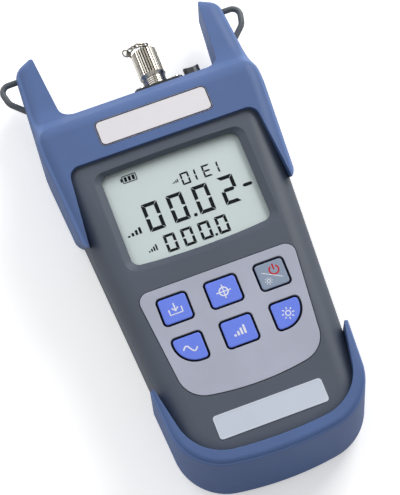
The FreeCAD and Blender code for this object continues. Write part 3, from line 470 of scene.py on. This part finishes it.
# %% Clear window, display and label plates
def window_finish():
    """Clear plastic with a faint mirror coat and a few smears."""
    finish = Finish("window_clear", Base_Color=(0.9, 0.95, 0.95, 1.0))
    smears = finish.noise(finish.stretch(finish.point(), 1.0, 0.35, 1.0), size=6.0, detail=4.0)
    finish.set("Roughness", 0.04 + finish.steps(smears, 0.5, 0.75) * 0.05)
    clear = finish.add("ShaderNodeBsdfTransparent", values={"Color": (1.0, 1.0, 1.0, 1.0)})
    inside = finish.add("ShaderNodeNewGeometry", output="Backfacing")
    gloss = finish.add("ShaderNodeFresnel", values={"IOR": 1.45}) * (1 - inside) * 0.12
    finish.wear("Surface", finish.add("ShaderNodeMixShader", values=[gloss, clear, finish.shader]))
    return finish


def display_finish():
    """The pale cell behind the window, a little cloudy and speckled."""
    finish = Finish("lcd_glass")
    point = finish.point()
    cloud = finish.noise(point, size=18.0, detail=2.0)
    speckle = finish.noise(point, size=0.3, detail=1.0)
    tint = finish.mix(cloud, paint(206, 219, 219), paint(214, 226, 226))
    finish.set("Base Color", finish.mix(finish.steps(speckle, 0.4, 0.7) * 0.05, tint, paint(150, 165, 160)))
    finish.set("Roughness", 0.3 + cloud * 0.1)
    return finish


def plate_finish(name, colour):
    """A coated label with fine fibres."""
    finish = Finish(name, Coat_Weight=0.3, Coat_Roughness=0.12)
    point = finish.point()
    cloud = finish.noise(point, size=9.0, detail=2.0)
    fibres = finish.noise(finish.stretch(point, 0.15, 1.0, 1.0), size=0.5, detail=3.0)
    finish.set("Base Color", finish.mix(cloud, shade(colour, 0.97), shade(colour, 1.02)))
    finish.set("Roughness", 0.32 + fibres * 0.15)
    finish.set("Normal", finish.bump(fibres, 0.01, 0.4))
    return finish


give(window_finish(), "display_window")
give(display_finish(), "lcd_panel")
give(plate_finish("plate_white", paint(236, 233, 238)), "title_plate")
give(plate_finish("plate_pale", paint(206, 216, 230)), "name_plate")


# %% [markdown]
# ## Metals
#
# The port, its ring and the dust cap are turned brass with nickel plating, slightly warm in colour. The
# chain, the screws, the switch domes and the springs are steel. Turning leaves rings round the axis, drawn
# here by noise that is stretched so far sideways that it becomes rings round Y. The cap's grooves get a
# painted shade: what lies deeper than the knurl's ridges, measured from the port's axis, is dark. The cap's
# smooth foot is left out of this. Its far end and the swivel lie near the axis too, so they are as dark.

# %% Turned nickel, steel and sheet metal
TARNISH = 0.12
cap_low, cap_high = box_of("dust_cap")
port_axis = (cap_low + cap_high) / 2
CAP_RADIUS = (cap_high.x - cap_low.x) / 2
GROOVE_FOOT = CAP_RADIUS - 0.42
RIDGE_TOP = CAP_RADIUS - 0.08
KNURL_START = cap_low.y + 1.3
print("port axis at x", round(port_axis.x, 2), "z", round(port_axis.z, 2), "mm")


def metal(name, colour, roughness, rings=0.0, knurled=False):
    """Bare metal with dull spots. Rings are the depth in millimetres of the marks that a lathe leaves."""
    finish = Finish(name, Metallic=1.0)
    point = finish.point()
    lathe = finish.noise(finish.stretch(point, 0.04, 5.0, 0.04), size=1.0, detail=3.0)
    dull = finish.steps(finish.noise(point, size=1.1, detail=4.0, roughness=0.65), 0.45, 0.8)
    surface = finish.mix(dull, colour, shade(colour, 1 - TARNISH * 2))
    if knurled:
        x, y, z = finish.axes(point)
        across = x - port_axis.x
        above = z - port_axis.z
        reach = finish.math("SQRT", across * across + above * above)
        on_knurl = finish.steps(y, KNURL_START, KNURL_START + 0.3)
        # Painted shade: what lies deeper than the knurl's ridges, and the far end and swivel near the axis,
        # is made nearly black.
        groove_shade = (1 - finish.steps(reach, GROOVE_FOOT, RIDGE_TOP)) * on_knurl
        surface = finish.mix(groove_shade, surface, shade(colour, 0.05))
    finish.set("Base Color", surface)
    finish.set("Roughness", roughness + dull * TARNISH + lathe * 0.06)
    if rings:
        finish.set("Normal", finish.bump(lathe, rings, 0.5))
    return finish


port_nickel = metal("port_nickel", (0.72, 0.69, 0.64, 1.0), 0.14, rings=0.02)
give(port_nickel, "port_body", "port_lock_ring")
give(metal("cap_nickel", (0.56, 0.53, 0.47, 1.0), 0.2, rings=0.01, knurled=True), "dust_cap", "cap_swivel")
chain_steel = metal("chain_steel", (0.42, 0.39, 0.33, 1.0), 0.24)
give(chain_steel, "cap_chain")
give(metal("screw_steel", (0.58, 0.58, 0.60, 1.0), 0.28), "port_screws", "case_screws")
give(metal("spring_steel", (0.66, 0.66, 0.68, 1.0), 0.25), "battery_springs", "battery_contacts")
give(metal("dome_steel", (0.7, 0.7, 0.7, 1.0), 0.22), "key_switches")
give(metal("diode_can", (0.72, 0.66, 0.5, 1.0), 0.25), "photodiode")


# %% The lamp's lens and the cells' sleeves
def lens_finish():
    """Clear, slightly milky plastic."""
    finish = Finish("lamp_clear", IOR=1.5, Transmission_Weight=0.6)
    cloud = finish.noise(finish.point(), size=1.5, detail=2.0)
    finish.set("Base Color", finish.mix(cloud, paint(235, 238, 240), paint(215, 222, 228)))
    finish.set("Roughness", 0.06 + cloud * 0.06)
    return finish


def cell_finish():
    """A battery's plain dark sleeve, worn pale in places."""
    finish = Finish("cell_wrap")
    scuffs = finish.noise(finish.point(), size=2.0, detail=4.0, roughness=0.7)
    worn_through = finish.steps(scuffs, 0.5, 0.8) * 0.3
    finish.set("Base Color", finish.mix(worn_through, paint(40, 60, 96), paint(120, 130, 150)))
    finish.set("Roughness", 0.28 + scuffs * 0.12)
    return finish


give(lens_finish(), "lamp_led")
give(cell_finish(), "battery_cell_1", "battery_cell_2", "battery_cell_3")


# %% [markdown]
# ## Flat prints in relief
#
# The printed figures and marks are thin pieces of their own, a twentieth of a millimetre high. Each starts
# as a plane that is stretched, has its corners cut and is extruded in edit mode, or as a curve with a round
# section that is turned into a mesh and pressed flat. A shape that repeats is made once and stamped where
# it is wanted.

# %% Choosing and editing a piece
PRINT = 0.05


def choose(*pieces):
    """Selects these pieces only and makes the first one active."""
    bpy.ops.object.select_all(action="DESELECT")
    for piece in pieces:
        piece.select_set(True)
    bpy.context.view_layer.objects.active = pieces[0]


@contextmanager
def editing(piece, everything=True):
    """Edit mode on one piece, with all of it selected unless its selection is kept."""
    choose(piece)
    bpy.ops.object.mode_set(mode="EDIT")
    if everything:
        bpy.ops.mesh.select_all(action="SELECT")
    yield
    bpy.ops.object.mode_set(mode="OBJECT")


def raise_flat():
    """In edit mode: gives a flat face or band the thickness of a print."""
    bpy.ops.mesh.select_all(action="SELECT")
    bpy.ops.mesh.extrude_region_move(TRANSFORM_OT_translate={"value": (0, 0, PRINT * MM)})
    bpy.ops.mesh.select_all(action="SELECT")
    bpy.ops.mesh.normals_make_consistent(inside=False)


# %% Two kinds of print: a tile and a stroke
def flat_square():
    """A square of one millimetre round the middle of z = 0."""
    bpy.ops.object.select_all(action="DESELECT")
    bpy.ops.mesh.primitive_plane_add(size=MM)
    return bpy.context.object


def tile(wide, tall, corner, rounds=1, line=None):
    """A flat rectangle round the middle with cut or rounded corners; with a line width, only its border."""
    piece = flat_square()
    with editing(piece):
        bpy.ops.transform.resize(value=(wide, tall, 1))
        bpy.ops.mesh.bevel(offset=corner * MM, segments=rounds, affect="VERTICES")
        bpy.ops.mesh.remove_doubles(threshold=0.004 * MM)
        if line is not None:
            bpy.ops.mesh.select_all(action="SELECT")
            bpy.ops.mesh.inset(thickness=line * MM)
            bpy.ops.mesh.delete(type="FACE")
        raise_flat()
    return piece


def stroke(points, width, closed=False):
    """A printed line of even width with round ends through points on z = 0."""
    data = bpy.data.curves.new("stroke", "CURVE")
    data.dimensions = "3D"
    data.bevel_depth = width / 2 * MM
    data.bevel_resolution = 2
    data.use_fill_caps = True
    spline = data.splines.new("POLY")
    spline.points.add(len(points) - 1)
    for knot, (x, y) in zip(spline.points, points):
        knot.co = (x * MM, y * MM, 0.0, 1.0)
    spline.use_cyclic_u = closed
    curve = bpy.data.objects.new("stroke", data)
    bpy.context.scene.collection.objects.link(curve)
    choose(curve)
    bpy.ops.object.convert(target="MESH")
    piece = bpy.context.object
    with editing(piece):
        bpy.ops.transform.resize(value=(1, 1, PRINT * 2 / width))
    return piece


# %% Paths for strokes
ARC_POINTS = 24


def turned(points, degrees):
    """The points turned about the middle."""
    c = math.cos(math.radians(degrees))
    s = math.sin(math.radians(degrees))
    return [(x * c - y * s, x * s + y * c) for x, y in points]


def round_path(radius, start=0.0, end=360.0):
    """Points on an arc, from one angle to another in degrees; a whole circle leaves out its last point."""
    parts = ARC_POINTS if end - start >= 360 else ARC_POINTS - 1
    return [turned([(radius, 0)], start + (end - start) * i / parts)[0] for i in range(ARC_POINTS)]


print("a ring has", len(round_path(1.0)), "points")


# %% Shifting, stamping and joining
def shift(piece, x, y, z=0.0, turn=0.0):
    """Moves a piece, in its mesh."""
    spot = Matrix.Translation((x * MM, y * MM, z * MM)) @ Matrix.Rotation(math.radians(turn), 4, "Z")
    piece.data.transform(spot)
    return piece


def stamp(piece, x, y, turn=0.0):
    """A copy of a piece with its own mesh, at another place."""
    twin = piece.copy()
    twin.data = piece.data.copy()
    bpy.context.scene.collection.objects.link(twin)
    return shift(twin, x, y, 0.0, turn)


def drop(*pieces):
    """Takes away pieces that were only models for their stamped copies."""
    for piece in pieces:
        bpy.data.objects.remove(piece)


def join(name, pieces, finish, x=0.0, y=0.0, z=0.0):
    """Joins pieces into one and sets it in place."""
    choose(*pieces)
    if len(pieces) > 1:
        bpy.ops.object.join()
    whole = bpy.context.object
    whole.name = name
    whole.data.name = name
    shift(whole, x, y, z)
    whole.data.materials.clear()
    whole.data.materials.append(finish.material)
    bpy.ops.object.shade_smooth_by_angle(angle=math.radians(35))
    print(name, [round(v / MM, 2) for v in whole.dimensions], "mm")
    return whole


def gather(name, pieces, finish, body, x=0.0, y=0.0, z=0.0):
    """Joins pieces into one that rides on a body."""
    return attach(join(name, pieces, finish, x, y, z), body)


def ink(name, colour, roughness=0.4):
    """Printed ink: a little thin and cloudy, as screen printing is."""
    finish = Finish(name, Specular_IOR_Level=0.15)
    cloud = finish.noise(finish.point(), size=0.7, detail=3.0, roughness=0.6)
    finish.set("Base Color", finish.mix(finish.steps(cloud, 0.4, 0.8), colour, shade(colour, 0.86)))
    finish.set("Roughness", roughness + cloud * 0.15)
    return finish


# %% [markdown]
# ## What the display shows
#
# A liquid crystal figure has seven bars with a thin gap between them, cut slanting where two meet in a
# corner. The shapes of bar that a row needs are modelled once and stamped for every bar that is dark. The
# main row reads 00.02 with its minus sign at the right, a smaller row below it reads 000.0 and an index
# above it reads 01E1. A battery sign stands in the corner, and a stair of bars stands where a unit would
# be.

# %% Bars of a figure
def mitred(length, bar, left, right):
    """A bar with its long side up, whose short side is cut back at each end."""
    piece = flat_square()
    with editing(piece):
        bpy.ops.transform.resize(value=(length, bar, 1))
    for side, cut in ((-1, left), (1, right)):
        with editing(piece):
            bpy.ops.mesh.select_all(action="DESELECT")
        for corner in piece.data.vertices:
            corner.select = corner.co.y < 0 and corner.co.x * side > 0
        with editing(piece, everything=False):
            bpy.ops.transform.translate(value=(-side * cut * MM, 0, 0))
    with editing(piece):
        raise_flat()
    return piece


# %% Seven-bar figures
BARS = {
    "0": "top upper_left upper_right lower_left lower_right foot",
    "1": "upper_right lower_right",
    "2": "top upper_right middle lower_left foot",
    "E": "top upper_left middle lower_left foot",
}


def figures(text, starts, low, wide, tall, bar):
    """Figures in a row: starts are their left edges, low is the row's foot, bar is a bar's thickness."""
    gap = 0.28 * bar
    slant = 0.9 * bar
    blunt = 0.3 * bar
    flat_bar = mitred(wide - gap, bar, slant, slant)
    first_bar = mitred(tall / 2 - gap, bar, blunt, slant)
    second_bar = mitred(tall / 2 - gap, bar, slant, blunt)
    middle_bar = tile(wide - bar - gap, bar, bar * 0.49)
    made = []
    for figure, left in zip(text, starts):
        spots = {
            "top": (flat_bar, wide / 2, tall - bar / 2, 0),
            "middle": (middle_bar, wide / 2, tall / 2, 0),
            "foot": (flat_bar, wide / 2, bar / 2, 180),
            "upper_left": (first_bar, bar / 2, tall * 0.75, 90),
            "upper_right": (second_bar, wide - bar / 2, tall * 0.75, -90),
            "lower_left": (second_bar, bar / 2, tall * 0.25, 90),
            "lower_right": (first_bar, wide - bar / 2, tall * 0.25, -90),
        }
        for spot in BARS[figure].split():
            shape, x, y, turn = spots[spot]
            made.append(stamp(shape, left + x, low + y, turn))
    drop(flat_bar, first_bar, second_bar, middle_bar)
    return made


# %% Signs beside the figures
STAIRS = 4


def level_bars(left, low, wide, tall):
    """A stair of bars, in place of a unit's letters."""
    share = wide / STAIRS
    bars = []
    for i in range(STAIRS):
        high = tall * (i + 1) / STAIRS
        bars.append(shift(tile(share * 0.62, high, 0.08), left + share * (i + 0.5), low + high / 2))
    return bars


def battery_sign(x, y):
    """A lying battery with three bars in it."""
    shell = shift(tile(5.2, 2.9, 0.3, line=0.32), x, y)
    knob = shift(tile(0.6, 1.3, 0.15), x - 2.95, y)
    return [shell, knob, *[shift(tile(1.0, 1.75, 0.12), x + step, y) for step in (-1.4, 0, 1.4)]]


# %% The whole reading
main_row = figures("0002", (-15.2, -6.2, 3.0, 12.4), low=5.5, wide=5.7, tall=10.6, bar=1.3)
main_minus = shift(tile(3.6, 1.2, 0.55), 21.9, 10.4)
main_dot = shift(tile(1.2, 1.2, 0.35, rounds=3), 1.4, 6.1)
small_row = figures("0000", (-12.0, -5.8, 0.4, 6.6), low=-3.7, wide=4.1, tall=6.6, bar=0.95)
small_dot = shift(tile(0.9, 0.9, 0.25, rounds=3), 5.5, -3.2)
index_row = figures("01E1", (1.2, 3.7, 9.1, 11.9), low=17.8, wide=3.0, tall=4.6, bar=0.6)
reading = [*main_row, main_minus, main_dot, *small_row, small_dot, *index_row]
reading += level_bars(left=-23.3, low=6.3, wide=5.6, tall=2.4)
reading += level_bars(left=-18.4, low=-1.3, wide=3.6, tall=2.2)
reading += level_bars(left=-2.2, low=19.6, wide=2.4, tall=1.3)
reading += battery_sign(-15.3, 27.0)
lcd_ink = ink("lcd_ink", paint(14, 20, 22), roughness=0.75)
gather("display_figures", reading, lcd_ink, "meter", z=box_of("lcd_panel")[1].z)


# %% [markdown]
# ## Marks on the keys and borders of the plates
#
# Each key carries a white sign for what it does: an arrow into a tray saves, a ring with a cross sets the
# reference, a wave chooses the wavelength, a stair of bars changes the unit, and a ring with rays is the
# lamp. The power key has the usual red ring with a bar, a slanted line and a small sun.

# %% Parts of the signs
def sun(radius, width):
    """A ring with eight rays."""
    ring = stroke(round_path(radius), width, closed=True)
    ray = [(radius * 1.7, 0), (radius * 2.6, 0)]
    return [ring, *[stroke(turned(ray, 45 * i), width) for i in range(8)]]


def wave(long, high):
    """One whole swing of a sine curve."""
    return [(long * (i / 24 - 0.5), high * math.sin(2 * math.pi * i / 24)) for i in range(25)]


def shift_all(pieces, x, y):
    """Moves several pieces by the same step."""
    return [shift(piece, x, y) for piece in pieces]


# %% Signs on the keys
LINE = 0.5
THIN_LINE = 0.4
signs = {
    "key_save": [
        stroke([(-2.2, 0.3), (-2.2, -1.7), (2.2, -1.7), (2.2, 0.3)], LINE),
        stroke([(0, 2.2), (0, -0.6)], LINE),
        stroke([(-1.1, 0.5), (0, -0.7), (1.1, 0.5)], LINE),
    ],
    "key_reference": [
        stroke(round_path(1.5), LINE, closed=True),
        stroke([(-2.6, 0), (2.6, 0)], THIN_LINE),
        stroke([(0, -2.6), (0, 2.6)], THIN_LINE),
    ],
    "key_wavelength": [stroke(wave(long=4.8, high=1.2), LINE)],
    "key_unit": level_bars(left=-2.4, low=-1.5, wide=4.8, tall=3.2),
    "key_lamp": sun(0.85, THIN_LINE),
    "key_power": [stroke([(-3.3, 1.5), (3.2, -2.1)], 0.28), *shift_all(sun(0.52, 0.26), -1.9, -2.0)],
}
white_ink = ink("white_ink", paint(238, 240, 250))
red_ink = ink("red_ink", paint(196, 52, 62))


def put_sign(name, pieces, colour, key):
    """Joins a sign's pieces and sets it on the middle of a key's top."""
    low, high = box_of(key)
    middle = (low + high) / 2
    gather(name, pieces, colour, key + "_cap", middle.x, middle.y, high.z)


for key, pieces in signs.items():
    put_sign(key + "_sign", pieces, white_ink, key)
power_ring = [stroke(round_path(1.6, 125, 415), 0.6), stroke([(0, 0.1), (0, 2.2)], 0.6)]
put_sign("key_power_ring", shift_all(power_ring, 1.2, 1.3), red_ink, "key_power")


# %% Border lines of the two plates
def plate_border(node, inside, width, corner, colour):
    """A thin printed line that follows a plate's edge, a little inside it."""
    low, high = box_of(node)
    middle = (low + high) / 2
    size = high - low
    piece = tile(size.x - 2 * inside, size.y - 2 * inside, corner, rounds=6, line=width)
    gather(node + "_border", [piece], colour, "meter", middle.x, middle.y, high.z)


dark_ink = ink("dark_ink", paint(42, 50, 74))
pale_ink = ink("pale_ink", paint(222, 228, 240))
plate_border("title_plate", inside=0.08, width=0.4, corner=1.9, colour=dark_ink)
plate_border("name_plate", inside=0.1, width=0.35, corner=1.4, colour=pale_ink)


# %% [markdown]
# ## The port's thread
#
# Between the lock ring and the dust cap a little of the port's thread shows. One triangle is swept round
# the port's axis by a Screw modifier, which turns it and moves it on at once, and that is how a thread is
# cut.

# %% A real thread on the port
PITCH = 0.75
RIDGE = 0.3
THREAD_CLEAR = 0.4
TURN_STEPS = 48
port_low, port_high = box_of("port_body")
THREAD_RADIUS = (port_high.x - port_low.x) / 2
thread_start = box_of("port_lock_ring")[1].y + THREAD_CLEAR


def port_thread():
    """A ridge round the Y axis, closed at both ends."""
    bpy.ops.object.select_all(action="DESELECT")
    bpy.ops.mesh.primitive_circle_add(vertices=3, radius=RIDGE * MM, location=(THREAD_RADIUS * MM, 0, 0))
    piece = bpy.context.object
    with editing(piece):
        bpy.ops.transform.resize(value=(1.0, 0.9, 1.0), center_override=(THREAD_RADIUS * MM, 0, 0))
    piece.data.transform(piece.matrix_basis)
    piece.matrix_basis = Matrix.Identity(4)
    screw = piece.modifiers.new("screw", "SCREW")
    screw.axis = "Y"
    screw.angle = 2 * math.pi
    screw.screw_offset = PITCH * MM
    screw.iterations = int((cap_low.y - thread_start) / PITCH)
    screw.steps = TURN_STEPS
    screw.render_steps = TURN_STEPS
    screw.use_merge_vertices = True
    choose(piece)
    bpy.ops.object.modifier_apply(modifier=screw.name)
    with editing(piece):
        bpy.ops.mesh.select_all(action="DESELECT")
        bpy.ops.mesh.select_non_manifold()
        bpy.ops.mesh.edge_face_add()
        bpy.ops.mesh.select_all(action="SELECT")
        bpy.ops.mesh.normals_make_consistent(inside=False)
    return piece


ridge = port_thread()
gather("port_thread", [ridge], port_nickel, "meter", port_axis.x, thread_start, port_axis.z)


# %% [markdown]
# ## The cap's chain
#
# A chain keeps the dust cap on the meter. One link is a ring pulled long in edit mode. It is copied along
# the chain's run, each copy turned a quarter against the last, as links hang in each other, and a larger
# split ring holds it where the run bends.

# %% Links along a run from the cap to the flange
CHAIN_RUN = [
    (7.0, 78.4, 16.6),
    (8.4, 78.1, 18.2),
    (6.2, 78.3, 19.4),
    (3.4, 78.2, 19.0),
    (1.5, 77.8, 17.2),
    (2.4, 78.2, 13.6),
    (4.8, 77.8, 11.0),
    (7.4, 74.8, 9.3),
    (8.2, 70.0, 8.9),
    (7.2, 65.8, 8.8),
    (4.0, 62.8, 8.8),
    (1.6, 62.0, 8.7),
]
LINK_RADIUS = 0.80
LINK_WIRE = 0.24
LINK_STRETCH = 1.4
LINK_STEP = 2 * (LINK_RADIUS - LINK_WIRE) * LINK_STRETCH
LINK_ROLL = 0.5
SPLIT_RADIUS = 1.35
SPLIT_WIRE = 0.3
SPLIT_TILT = 0.4
SPLIT_SPOT = Vector((0.9, 77.6, 17.6))


def walk(points, step):
    """Places a step apart along straight runs, each with the direction of its run."""
    found = []
    ahead = step / 2
    for start, end in zip(points, points[1:]):
        run = Vector(end) - Vector(start)
        while ahead <= run.length:
            found.append((Vector(start) + run.normalized() * ahead, run.normalized()))
            ahead += step
        ahead -= run.length
    return found


def ring_of_wire(radius, wire, stretch=1.0):
    """A ring in the middle, pulled long by a factor."""
    bpy.ops.object.select_all(action="DESELECT")
    bpy.ops.mesh.primitive_torus_add(
        major_radius=radius * MM, minor_radius=wire * MM, major_segments=24, minor_segments=8
    )
    piece = bpy.context.object
    with editing(piece):
        bpy.ops.transform.resize(value=(stretch, 1, 1))
    return piece


link = ring_of_wire(LINK_RADIUS, LINK_WIRE, LINK_STRETCH)
links = []
for number, (spot, heading) in enumerate(walk(CHAIN_RUN, LINK_STEP)):
    roll = Matrix.Rotation(math.pi / 2 * (number % 2) + LINK_ROLL, 4, "X")
    turn = heading.to_track_quat("X", "Z").to_matrix().to_4x4()
    twin = stamp(link, 0, 0)
    twin.data.transform(Matrix.Translation(spot * MM) @ turn @ roll)
    links.append(twin)
drop(link)
split_ring = ring_of_wire(SPLIT_RADIUS, SPLIT_WIRE)
split_ring.data.transform(Matrix.Translation(SPLIT_SPOT * MM) @ Matrix.Rotation(SPLIT_TILT, 4, "Y"))
chain = join("cap_chain_links", [split_ring, *links], chain_steel)
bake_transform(chain)
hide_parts("cap_chain")
print(len(links), "links")
